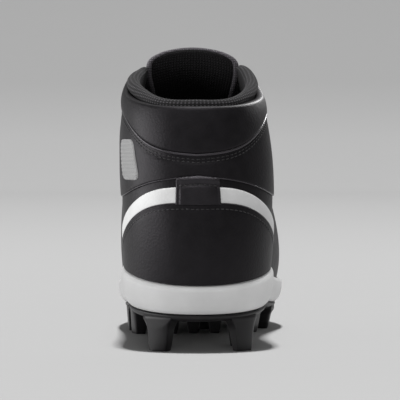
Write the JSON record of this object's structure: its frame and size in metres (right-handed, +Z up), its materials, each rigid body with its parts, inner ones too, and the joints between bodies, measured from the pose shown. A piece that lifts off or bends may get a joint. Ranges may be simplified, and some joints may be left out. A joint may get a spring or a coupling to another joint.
{
  "type": "baseball cleat",
  "caption": "Left mid-cut leather baseball shoe with padded collar, criss-cross laces, foam midsole and a moulded plate of studs under heel and forefoot.",
  "frame": {"origin": "on the floor under the middle of the shoe's bounding box", "axes": "+Y to the toe, +X to the medial side, +Z up; the studs stand on z = 0"},
  "size_m": [0.0952, 0.2986, 0.1605],
  "materials": {
    "plate": "moulded black, slightly glossy",
    "foam": "matt white foam",
    "textile": "black knitted lining",
    "leather": "fine-grained black, half gloss",
    "edging": "smooth white, half gloss",
    "lace": "flat woven black"
  },
  "bodies": {
    "root": {"outsole": "plate", "midsole": "foam", "insole": "textile", "upper": "leather", "heel_counter": "leather", "heel_trim_medial": "edging", "heel_trim_lateral": "edging", "heel_tab": "leather", "ankle_panel": "leather", "collar_cuff": "leather", "collar_roll": "textile", "eyestay": "leather", "toe_cap": "leather", "tongue": "textile", "lace_bar": "lace", "lace_cross_1": "lace", "lace_cross_2": "lace", "lace_cross_3": "lace", "lace_cross_4": "lace", "lace_cross_5": "lace", "lace_cross_6": "lace"}
  },
  "joints": []
}
